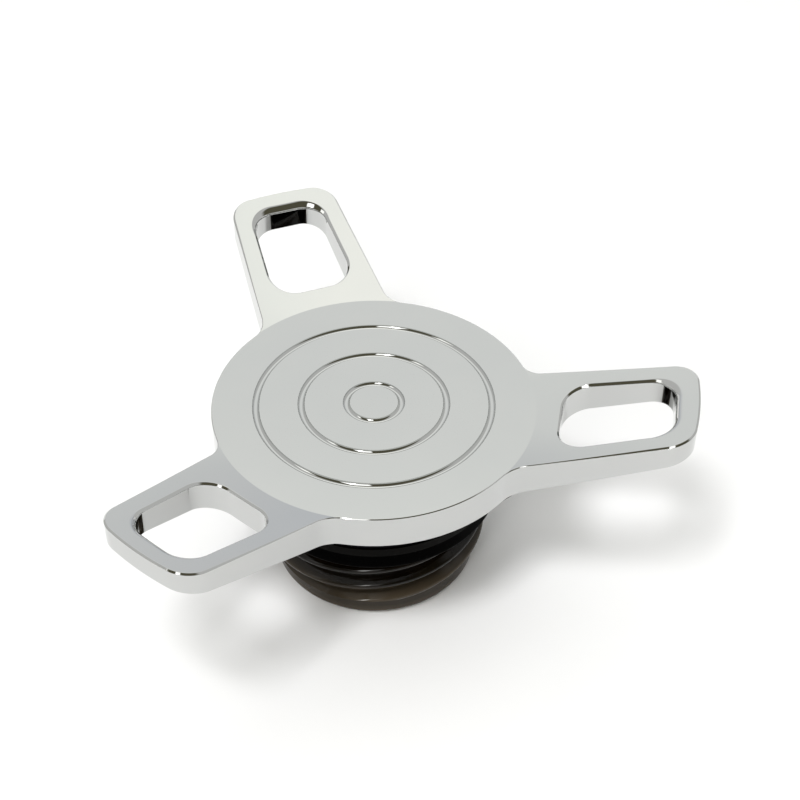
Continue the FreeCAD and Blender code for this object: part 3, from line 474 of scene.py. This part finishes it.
def welded_copy(name, source, materials):
    """A copy of a solid, whose mesh is a heap of loose triangles, with its corners joined."""
    mesh = source.data
    points, facing = np.empty((len(mesh.vertices), 3)), np.empty((len(mesh.loops), 3))
    corners = np.empty(len(mesh.loops), dtype=np.int64)
    mesh.vertices.foreach_get("co", points.ravel())
    mesh.loops.foreach_get("vertex_index", corners)
    mesh.corner_normals.foreach_get("vector", facing.ravel())
    order = np.arange(len(corners)).reshape(-1, 3)
    return skin(name, points[corners] / MM, facing, order, materials)


print("grids are welded by welded_piece, solids by welded_copy")

# %% [markdown]
# ## Working in plan
# The head is much the same from above at every height, so most of it is laid out flat first, as
# loops of points in plan. A few short helpers turn and close such loops and give them heights.


# %% Write the plan helpers
def ray(angle):
    """Directions in plan at angles counted from +X."""
    return np.stack([np.cos(angle), np.sin(angle)], -1)


def closed(loop):
    """A loop of points with its first point repeated at the end."""
    return np.concatenate([loop, loop[:1]])


def rotated(loop, thirds):
    """Plan points turned by a number of thirds of a circle."""
    angle = 2 * math.pi / 3 * thirds
    turn = np.array([[math.cos(angle), math.sin(angle)], [-math.sin(angle), math.cos(angle)]])
    return loop @ turn


def at_height(plan, height):
    """Plan points lifted to their heights."""
    return np.concatenate([plan, height], -1)


def ruled(inner, outer, steps):
    """Rows of plan points on straight lines from one loop to the other."""
    share = np.linspace(0, 1, steps + 1)[:, None, None]
    return (1 - share) * inner + share * outer


def turn_grid(grid, thirds):
    """A grid turned about the axis by a number of thirds."""
    return tuple(
        np.concatenate([rotated(part[..., :2], thirds), part[..., 2:]], -1) for part in grid
    )


print("a third of a turn takes (1, 0) to", rotated(np.array([1.0, 0.0]), 1).round(3))

# %% [markdown]
# ## The sizes of the head
# All of these are in millimetres, and the slopes are rises per millimetre outwards. They are the
# solid's own sizes. Only the narrow flats and rounds along the edges are new, because the solid
# has sharp ones.

# %% Name the head's sizes
head_top, hub_radius, hub_thickness, under_radius = 43.0, 35.0, 8.2, 33.8
tip_radius, arm_root_half, arm_tip_half = 68.5, 14.8, 12.6
root_fillet, tip_fillet, slot_fillet = 6.0, 6.0, 5.6
rise, under_rise = math.tan(17.0 * degree), math.tan(20.6 * degree)
edge_flat, tip_wear, edge_shoulder, under_break = 0.18, 0.25, 0.06, 0.2
head_under = head_top - hub_thickness
print("head from", head_under, "to", head_top, "mm at the hub, arms out to", tip_radius, "mm")

# %% [markdown]
# ## The head's outline
# The head was milled from a thick plate: a round hub and three arms that narrow towards their
# tips, every corner run round by the cutter. One third of the outline is a hub arc, a hollow
# root fillet, a straight side and a rounded tip, and then the same mirrored. Each point of it
# carries the direction that leads out of the metal, so that edges can be set in by any amount.


# %% Write the pieces of a path
def arc(centre, radius, start, end, steps, hollow=False):
    """Points along an arc without the last, and the directions out of the metal."""
    out = ray(np.linspace(start, end, steps, endpoint=False))
    return centre + radius * out, -out if hollow else out


def straight(start, end, out, steps):
    """Points along a line without the last, and the direction out of the metal."""
    share = np.linspace(0, 1, steps, endpoint=False)[:, None]
    return start + share * (end - start), np.broadcast_to(out, (steps, 2))


def joined_path(parts, end, out):
    """Parts laid end to end and closed by a last point with its direction."""
    plan = np.concatenate([part[0] for part in parts] + [end[None]])
    outs = np.concatenate([part[1] for part in parts] + [out[None]])
    return plan, outs


def mirrored(plan, outs):
    """A half path from the arm's middle line, with its mirror image put before it."""
    flip = np.array([1, -1])
    return tuple(np.concatenate([(half * flip)[:0:-1], half]) for half in (plan, outs))


def angle_of(vector):
    """The angle of a plan vector, from 0 to a full circle."""
    return math.atan2(vector[1], vector[0]) % (2 * math.pi)


print("quarter arc:", arc(np.zeros(2), 1.0, 0, math.pi / 2, 3)[0].round(3).tolist())

# %% [markdown]
# ## One third of the outline
# An arm's side is a straight line, and each fillet's centre lies at the fillet's radius from it,
# inside the metal at the tip and outside at the root. The eased edge of the hollow root fillet
# cuts the hub's circle a little before the fillet ends. That crossing is where the flat hub and
# the rising arm part, so the outline has a point exactly there.

# %% Lay out the outline
# axis_half is how far off the axis an arm's side line passes, were it drawn on so far.
tip_reach = math.sqrt(tip_radius**2 - arm_tip_half**2)
axis_half = arm_root_half + hub_radius * (arm_root_half - arm_tip_half) / (tip_radius - hub_radius)
side_out = unit(np.array([axis_half - arm_tip_half, tip_reach]))
side_along = np.array([side_out[1], -side_out[0]])
side_far = axis_half * side_out[1]
origin = np.zeros(2)


def off_side(offset, radius):
    """The point at a distance from the arm's side line and at a radius from the axis."""
    far = side_far + offset
    return far * side_out + math.sqrt(radius**2 - far**2) * side_along


root_centre = off_side(root_fillet, hub_radius + root_fillet)
tip_centre = off_side(-tip_fillet, tip_radius - tip_fillet)
side_angle, root_angle, tip_angle = angle_of(side_out), angle_of(root_centre), angle_of(tip_centre)
reach = hub_radius + root_fillet
eased = root_fillet + edge_flat + edge_shoulder
crease_cosine = (reach**2 + hub_radius**2 - eased**2) / (2 * reach * hub_radius)
crease_angle = root_angle - math.acos(crease_cosine)
crease_end = hub_radius * ray(crease_angle)
crossing = angle_of(crease_end - root_centre)

half_third = math.pi / 3
steps_tip, steps_round, steps_side, steps_root, steps_blend, steps_hub = 12, 20, 40, 16, 4, 24
side_line = tip_centre + tip_fillet * side_out, root_centre - root_fillet * side_out
parts = [
    arc(origin, tip_radius, 0, tip_angle, steps_tip),
    arc(tip_centre, tip_fillet, tip_angle, side_angle, steps_round),
    straight(*side_line, side_out, steps_side),
    arc(root_centre, root_fillet, side_angle + math.pi, crossing, steps_root, hollow=True),
    arc(root_centre, root_fillet, crossing, root_angle + math.pi, steps_blend, hollow=True),
    arc(origin, hub_radius, root_angle, half_third, steps_hub),
]
third, third_out = mirrored(*joined_path(parts, hub_radius * ray(half_third), ray(half_third)))
middle = len(third) // 2
to_crease = steps_tip + steps_round + steps_side + steps_root
to_root = to_crease + steps_blend
outline = np.concatenate([rotated(third[:-1], k) for k in range(3)])
outline_out = np.concatenate([rotated(third_out[:-1], k) for k in range(3)])
print("outline of", len(outline), "points, roots end at", round(root_angle / degree, 1), "degrees")

# %% [markdown]
# ## The finger slots in plan
# Each arm has a window for a fingertip. Its ends are square to the arm and its sides narrow with
# it. The points run round the slot in step with the arm's own edge, so that straight lines
# between the two loops cover the metal between them without crossing.

# %% Lay out one slot
slot_start, slot_end = 40.3, 63.6
slot_start_half, slot_end_half = 9.8, 8.4
slot_out = unit(np.array([slot_start_half - slot_end_half, slot_end - slot_start]))
slot_far = slot_out @ np.array([slot_start, slot_start_half]) - slot_fillet
slot_angle = angle_of(slot_out)


def slot_corner(x):
    """The centre of a slot's corner round, above a place on the arm's middle line."""
    return np.array([x, (slot_far - slot_out[0] * x) / slot_out[1]])


outer_round = slot_corner(slot_end - slot_fillet)
inner_round = slot_corner(slot_start + slot_fillet)
outer_half, inner_half = slot_angle / 2, (slot_angle + math.pi) / 2
end_line = np.array([slot_end, 0.0]), np.array([slot_end, outer_round[1]])
start_line = np.array([slot_start, inner_round[1]]), np.array([slot_start, 0.0])
slot_line = outer_round + slot_fillet * slot_out, inner_round + slot_fillet * slot_out
inward, outward = np.array([-1.0, 0.0]), np.array([1.0, 0.0])
steps_end, steps_corner, steps_long, steps_start = 16, 16, 24, 14
parts = [
    straight(*end_line, inward, steps_end),
    arc(outer_round, slot_fillet, 0, outer_half, steps_corner, hollow=True),
    arc(outer_round, slot_fillet, outer_half, slot_angle, steps_corner, hollow=True),
    straight(*slot_line, -slot_out, steps_long),
    arc(inner_round, slot_fillet, slot_angle, inner_half, steps_corner, hollow=True),
    arc(inner_round, slot_fillet, inner_half, math.pi, steps_corner, hollow=True),
    straight(*start_line, outward, steps_start),
]
slot, slot_outs = (
    np.roll(half[:-1], -(len(half) // 2), axis=0)
    for half in mirrored(*joined_path(parts, start_line[1], outward))
)
print("slot of", len(slot), "points")

# %% [markdown]
# ## Heights over the plan
# The blank was turned after milling. The top is flat out to the hub's rim and then rises as a
# shallow cone, and the underside rises a little more steeply. A height and a facing direction
# for any plan point follow from its distance to the axis alone.


# %% Write the turned surfaces
def out_from_axis(plan):
    """How far plan points lie from the axis, and their directions from it."""
    radius = np.linalg.norm(plan, axis=-1, keepdims=True)
    return radius, plan / np.maximum(radius, 1e-9)


def cone(plan, base, start, slope):
    """Heights of a surface that is level out to a radius and then rises by the slope."""
    return base + slope * np.maximum(out_from_axis(plan)[0] - start, 0)


def top_height(plan):
    """The head's turned top."""
    return cone(plan, head_top, hub_radius, rise)


def under_height(plan):
    """The head's turned underside."""
    return cone(plan, head_under, under_radius, under_rise)


def cone_way(plan, slope, side):
    """The directions a cone faces: side is 1 for its top and -1 for its underside."""
    outward = out_from_axis(plan)[1]
    up = np.ones(outward.shape[:-1] + (1,))
    return unit(np.concatenate([-slope * outward, up], -1)) * side


tip = np.array([[tip_radius, 0.0]])
print("arm is", round((top_height(tip) - under_height(tip)).item(), 2), "mm thick at its tip")

# %% [markdown]
# ## Edges and walls
# A real edge is never perfectly sharp. A fine file or the polishing wheel leaves a narrow strip
# that turns from one face to the other, and in chrome that strip is what draws the edge. Each is
# a curved strip along a path in plan. The walls between them are upright.

# %% Write the edges
steps_high, steps_low = 8, 4


def eased_edge(plan, outs, start, corner, end, slope, steps):
    """The rounded strip between two faces that meet at a corner.

    Across the strip the points follow a parabola from start to end that leaves along the first
    face and arrives along the second. The facing direction is at right angles to that curve
    and to the edge's own run, which climbs by the slope where it moves away from the axis."""
    share = np.linspace(0, 1, steps + 1)[:, None, None]
    place = (1 - share) ** 2 * start + 2 * share * (1 - share) * corner + share**2 * end
    across = (1 - share) * (corner - start) + share * (end - corner)
    run = np.stack([-outs[:, 1], outs[:, 0]], -1)
    climb = slope * (run * out_from_axis(plan)[1]).sum(-1, keepdims=True)
    along = np.broadcast_to(np.concatenate([run, climb], -1), across.shape)
    return place, unit(np.cross(across, along))


def bevel(plan, outs, flat, shoulder, slope):
    """A narrow flat between top and wall, rounded where it meets both.

    The flat drops as far as it is wide, so it leans at 45 degrees on a level face. A shoulder
    is how far each rounding reaches from its corner. Returns the three grids, from the top
    down, and their first and last rows of points."""
    inset = plan - flat * outs
    high_corner = at_height(inset, top_height(inset))
    low_corner = at_height(plan, top_height(plan) - flat)
    start = inset - shoulder * outs
    high = at_height(start, top_height(start))
    low = low_corner - np.array([0, 0, 1]) * shoulder
    down = unit(low_corner - high_corner) * shoulder
    flat_high, flat_low = high_corner + down, low_corner - down
    return [
        eased_edge(plan, outs, high, high_corner, flat_high, slope, steps_high),
        eased_edge(plan, outs, flat_high, (flat_high + flat_low) / 2, flat_low, slope, 1),
        eased_edge(plan, outs, flat_low, low_corner, low, slope, steps_low),
    ], high, low


def underside_edge(plan, outs, slope, steps):
    """The small round between a wall and the underside.

    Returns its grid, the wall's lowest points and the plan points where the underside begins."""
    inset = plan - under_break * outs
    corner = at_height(plan, under_height(plan))
    foot = corner + np.array([0, 0, under_break])
    edge = at_height(inset, under_height(inset))
    return eased_edge(plan, outs, foot, corner, edge, slope, steps), foot, inset


def wall(first, last, outs):
    """An upright wall between two rows of points, facing along plan directions."""
    way = np.concatenate([outs, np.zeros((len(outs), 1))], -1)
    return np.stack([first, last]), np.broadcast_to(way, (2,) + way.shape)


def slope_at(plan, start, slope):
    """The slope where plan points lie beyond a radius, and none inside it."""
    return np.where(out_from_axis(plan)[0] > start + 1e-6, slope, 0.0)


print("an edge's rounding has", steps_high, "strips above its flat and", steps_low, "below")

# %% [markdown]
# ## The head's outside walls
# The edge between top and wall was broken to a narrow flat, a little wider towards the tips,
# and the polishing wheel softened both of its corners. The flat faces another part of the room
# than the top does, and so it draws the thin dark or bright line along every edge of the cap.

# %% Build the outside walls
wear_start, wear_end = 42.0, 68.0
plan, outs = closed(outline), closed(outline_out)
worn_share = np.clip((out_from_axis(plan)[0] - wear_start) / (wear_end - wear_start), 0, 1)
worn = edge_flat + tip_wear * worn_share
top_slope, under_slope = slope_at(plan, hub_radius, rise), slope_at(plan, under_radius, under_rise)
head, top_edge, wall_top = bevel(plan, outs, worn, edge_shoulder, top_slope)
low_edge, wall_foot, under_inset = underside_edge(plan, outs, under_slope, steps=5)
top_inset = top_edge[:, :2]
head += [wall(wall_top, wall_foot, outs), low_edge]
lowest, highest = wall_foot[:, 2].min(), wall_top[:, 2].max()
print("walls from", round(float(lowest), 2), "to", round(float(highest), 2), "mm")

# %% [markdown]
# ## The slot's walls
# The cutter left each slot with upright walls and a narrow flat round its upper edge. The
# polishing wheel wore that flat to a shallow dish at the slot's outer end, where it ran off.
# The dish grows along a smooth step, 3 s squared less 2 s cubed, so that it has no visible start.

# %% Build the slot's walls
slot_flat, slot_shoulder, slot_wear, dish_start, dish_flat_share = 0.5, 0.1, 0.45, 57.0, 0.8
slot_loop, slot_loop_outs = closed(slot), closed(slot_outs)
along = np.clip((slot_loop[:, :1] - dish_start) / (slot_end - dish_start), 0, 1)
dish = slot_wear * along**2 * (3 - 2 * along)
slot_worn, slot_rounded = slot_flat + dish_flat_share * dish, slot_shoulder + dish
slot_edge, slot_top, slot_low = bevel(slot_loop, slot_loop_outs, slot_worn, slot_rounded, rise)
slot_low_edge, slot_foot, slot_under = underside_edge(
    slot_loop, slot_loop_outs, under_rise, steps=4
)
print("slot's flat is", slot_flat, "mm wide, and", round(float(slot_worn.max()), 2), "in its dish")

# %% [markdown]
# ## One arm, three times
# The loop of an arm's own edge has as many points as the slot's, in step with them. So the arm's
# top and underside are both rows of straight lines between the two loops, lifted to the cones.


# %% Build the arms
def arm_loop(last, edge, joint_radius, joint_angle, steps, ends):
    """A closed loop round one arm: its edge as far as a step, then back along a hub arc.

    ends says whether the arc keeps its two end points, which the edge may have already."""
    back = joint_radius * ray(np.linspace(joint_angle, -joint_angle, steps + 1))
    back = back if ends else back[1:-1]
    return np.concatenate([edge[middle:middle + last + 1], back, edge[middle - last:middle]])


third_top, third_under = top_inset[:len(third)], under_inset[:len(third)]
steps_crease, steps_under, steps_across = 60, 50, 6
top_loop = arm_loop(to_crease, third_top, hub_radius, crease_angle, steps_crease, False)
under_loop = arm_loop(to_root, third_under, under_radius, root_angle, steps_under, True)
arm_top = ruled(slot_top[:, :2], closed(top_loop), steps_across)
arm_under = ruled(slot_under, closed(under_loop), steps_across)
arm = slot_edge + [
    (at_height(arm_top, top_height(arm_top)), cone_way(arm_top, rise, 1)),
    (at_height(arm_under, under_height(arm_under)), cone_way(arm_under, under_rise, -1)),
    wall(slot_low, slot_foot, slot_loop_outs),
    slot_low_edge,
]
head += [turn_grid(grid, k) for grid in arm for k in range(3)]
print("arm of", len(arm), "grids, made three times")

# %% [markdown]
# ## The hub's rings
# Three fine grooves were turned into the flat top with a round-nosed tool. A bump map could draw
# them, but its lips would not hide one another as real ones do. The hub is a disc of points at
# set radii: the grooves' radii come from the tool's circle, and the last row follows the hub's
# true rim, so that it meets the edge round and the arms point for point. The grooves are a
# little wider and deeper than the solid's, which read too thin in the picture.

# %% Build the hub's top
ring_first, ring_spacing, ring_half_width, ring_depth = 5.95, 9.75, 0.75, 0.64
points_across = 21
tool = (ring_half_width**2 + ring_depth**2) / (2 * ring_depth)
tool_angle = math.asin(ring_half_width / tool)
crease = hub_radius * ray(np.linspace(-crease_angle, crease_angle, steps_crease + 1))[1:-1]
rim_third = np.concatenate([
    third_top[:middle - to_crease + 1], crease, third_top[middle + to_crease:-1]
])
rim = closed(np.concatenate([rotated(rim_third, k) for k in range(3)]))
rim_ray = out_from_axis(rim)[1]
nose = np.linspace(-tool_angle, tool_angle, points_across)
radii, heights, leans = [0.0], [head_top], [0.0]
for step in range(3):
    centre = ring_first + step * ring_spacing
    lips = centre + np.array([-1, 1]) * ring_half_width
    radii += [lips[0], *(centre + tool * np.sin(nose)), lips[1]]
    heights += [head_top, *(head_top - ring_depth + tool * (1 - np.cos(nose))), head_top]
    leans += [0.0, *nose, 0.0]
radii, heights, leans = (np.array(values)[:, None, None] for values in (radii, heights, leans))
groove_plan = np.concatenate([radii * rim_ray, rim[None]])
heights = np.concatenate([heights, [[[head_top]]]])
leans = np.concatenate([leans, [[[0.0]]]]) * np.ones((1, len(rim), 1))
groove_way = np.concatenate([-np.sin(leans) * rim_ray, np.cos(leans)], -1)
head.append((at_height(groove_plan, heights * np.ones((1, len(rim), 1))), groove_way))
print("hub top has rings at", [ring_first + k * ring_spacing for k in range(3)], "mm")

# %% [markdown]
# ## The hub's underside
# Below, the hub has a shallow round recess for the cup, a hole for the pivot screw and three for
# the cup's screws. Nobody sees them in the photograph, and they are plain turned and drilled
# forms. They are built all the same, so that the head is whole from every side.

# %% Build the hub's underside
recess_radius, recess_height = 26.05, 1.2
recess_top = head_under + recess_height
DOWN = np.array([0.0, 0.0, -1.0])
under_angles = np.concatenate([
    np.linspace(-half_third, -root_angle, steps_hub, endpoint=False),
    np.linspace(-root_angle, root_angle, steps_under, endpoint=False),
    np.linspace(root_angle, half_third, steps_hub + 1),
])
whole_angles = np.concatenate([under_angles[:-1] + 2 * half_third * k for k in range(3)])
circle = closed(ray(whole_angles))


def level_face(plans, height):
    """A level face seen from below, from rows of plan points."""
    place = at_height(plans, np.full(plans.shape[:2] + (1,), height))
    return place, np.broadcast_to(DOWN, place.shape)


def flat_between(inner, outer, height):
    """A level face seen from below, between two loops."""
    return level_face(np.stack([inner, outer]), height)


def upright(loop, low, high, outs):
    """A wall over a loop of plan points from one height to another, facing along outs."""
    return wall(*(at_height(loop, np.full((len(loop), 1), z)) for z in (low, high)), outs)


# The underside's cone also fills the short rim between one arm's root and the next arm's.
strip = np.arange(middle + to_root, 2 * middle + 1)
next_third = rotated(third_under, 1)
rim_low = np.concatenate([third_under[strip], next_third[1:middle - to_root + 1]])
cone_low = ruled(under_radius * out_from_axis(rim_low)[1], rim_low, 1)
cone_strip = at_height(cone_low, under_height(cone_low)), cone_way(cone_low, under_rise, -1)
head += [turn_grid(cone_strip, k) for k in range(3)]
head.append(flat_between(recess_radius * circle, under_radius * circle, head_under))
head.append(upright(recess_radius * circle, head_under, recess_top, -circle))
print("recess of", recess_radius, "mm radius, up to", recess_top, "mm")

# %% [markdown]
# ## The screw holes
# Each of the three screw holes sits in a sector of the recess, between two radii. The points
# round the hole are paired with points round the sector, as many on each of its four sides, and
# straight lines between the pairs cover the metal. The pivot's hole is a plain one in the middle.

# %% Drill the holes
pivot_hole, pivot_depth, screw_hole, screw_depth, screw_circle = 3.05, 5.0, 1.55, 2.2, 20.0
inner_radius, steps_radial, steps_sector = 15.0, 12, 3
radial = np.linspace(0, 1, steps_radial, endpoint=False)[:, None]
first_ray, last_ray = ray(-half_third), ray(half_third)
span = recess_radius - inner_radius
sector = np.concatenate([
    recess_radius * ray(under_angles[:-1]),
    last_ray * (recess_radius - radial * span),
    inner_radius * ray(under_angles[:0:-1]),
    first_ray * (inner_radius + radial * span),
])
quarters = (len(under_angles) - 1, steps_radial, len(under_angles) - 1, steps_radial)
marks = np.radians([-60, 60, 120, 240, 300])
hole_angles = np.concatenate([
    np.linspace(marks[k], marks[k + 1], quarters[k], endpoint=False) for k in range(4)
])
hole_circle = closed(ray(hole_angles))
hole = np.array([screw_circle, 0.0]) + screw_hole * hole_circle
hole_centre = np.broadcast_to([screw_circle, 0.0], hole.shape)
drilled = [
    level_face(ruled(hole, closed(sector), steps_sector), recess_top),
    upright(hole, recess_top, recess_top + screw_depth, -hole_circle),
    flat_between(hole_centre, hole, recess_top + screw_depth),
]
head += [turn_grid(grid, k) for grid in drilled for k in range(3)]
head.append(flat_between(pivot_hole * circle, inner_radius * circle, recess_top))
head.append(upright(pivot_hole * circle, recess_top, recess_top + pivot_depth, -circle))
head.append(flat_between(0 * circle, pivot_hole * circle, recess_top + pivot_depth))
print("holes at", screw_circle, "mm from the axis,", len(drilled), "grids each")

# %% [markdown]
# ## The head in one skin
# All the grids are welded now, and the new head takes the solid's place: it rides on the same
# body and replaces the solid in the picture.

# %% Weld the head
print("head of", len(head), "grids")
polished_head = welded_piece("polished_head", head, chrome)
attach(polished_head, "head")
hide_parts("spinner_head")

# %% [markdown]
# ## The plug's two surfaces
# The plug is one moulding of smoky plastic. Its thread shines, because it rubs on the filler neck
# each time the cap is turned. The flange above lies in the head's shade, and its black is painted
# shade: a blacker finish with almost no reflection. The solid's form stays as it is: a copy of it
# is welded, and its faces are shared out by their height.

# %% Share out the plug's faces
# Painted shade: a blacker colour and almost no reflection for the flange under the head.
shaded_flange = finish("painted_shade_flange", ((0.0010, 0.0009, 0.0007), (0.0020, 0.0017, 0.0013)),
              (0.45, 0.6), 400, bump=0.00002, Specular_IOR_Level=0.04)
flange_foot = 23.9
threaded_plug = welded_copy("threaded_plug", nodes["plug_body"], [smoky, shaded_flange])
centres = np.empty((len(threaded_plug.data.polygons), 3))
threaded_plug.data.polygons.foreach_get("center", centres.ravel())
in_flange = centres[:, 2] > flange_foot * MM
threaded_plug.data.polygons.foreach_set("material_index", in_flange.astype(np.int32))
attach(threaded_plug, "plug")
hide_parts("plug_body")
print("dull faces:", int(in_flange.sum()), "of", len(centres))

# %% [markdown]
# ## The springs
# A coil spring gets shorter as its valve moves, while a solid keeps its shape. So a copy of each
# spring stands for its solid, rides on the solid's body and takes its place in the picture.

# %% Stand copies in for the springs
UPPER, LOWER = 1, 0
SPRINGS = [
    # name, solid, body that it rides on, joint that presses it, still end, travel in mm
    ("pressure_coil", "pressure_spring", "plug", "pressure_lift", UPPER, 2.0),
    ("vacuum_coil", "vacuum_spring", "pressure_valve", "vacuum_drop", LOWER, 1.0),
]
for name, solid, body, joint, still_end, travel in SPRINGS:
    coil = welded_copy(name, nodes[solid], [spring])
    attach(coil, body)
    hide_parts(solid)
    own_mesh(coil)
